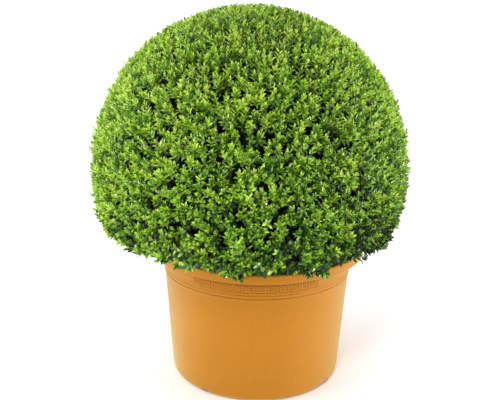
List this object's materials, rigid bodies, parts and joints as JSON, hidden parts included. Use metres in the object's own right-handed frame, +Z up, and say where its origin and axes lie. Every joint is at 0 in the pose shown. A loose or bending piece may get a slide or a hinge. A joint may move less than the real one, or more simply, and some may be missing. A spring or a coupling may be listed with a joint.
{
  "type": "box topiary ball in a pot",
  "caption": "Clipped ball of dense leafy box sprigs on a short hidden trunk, standing in a round ochre plastic tub with a rolled rim, raised bands and a key-pattern frieze.",
  "frame": {"origin": "centre of the flat pad in the middle of the tub's underside, on the ground", "axes": "+Z up through the ball; -Y towards the side on which the first panel of the frieze is centred"},
  "size_m": [0.5986, 0.5968, 0.7017],
  "materials": {
    "tub_plastic": "satin",
    "compost": "matte",
    "bark": "matte",
    "foliage": "satin"
  },
  "bodies": {
    "root": {"tub": "tub_plastic", "compost": "compost", "trunk": "bark", "crown": "foliage"}
  },
  "joints": []
}
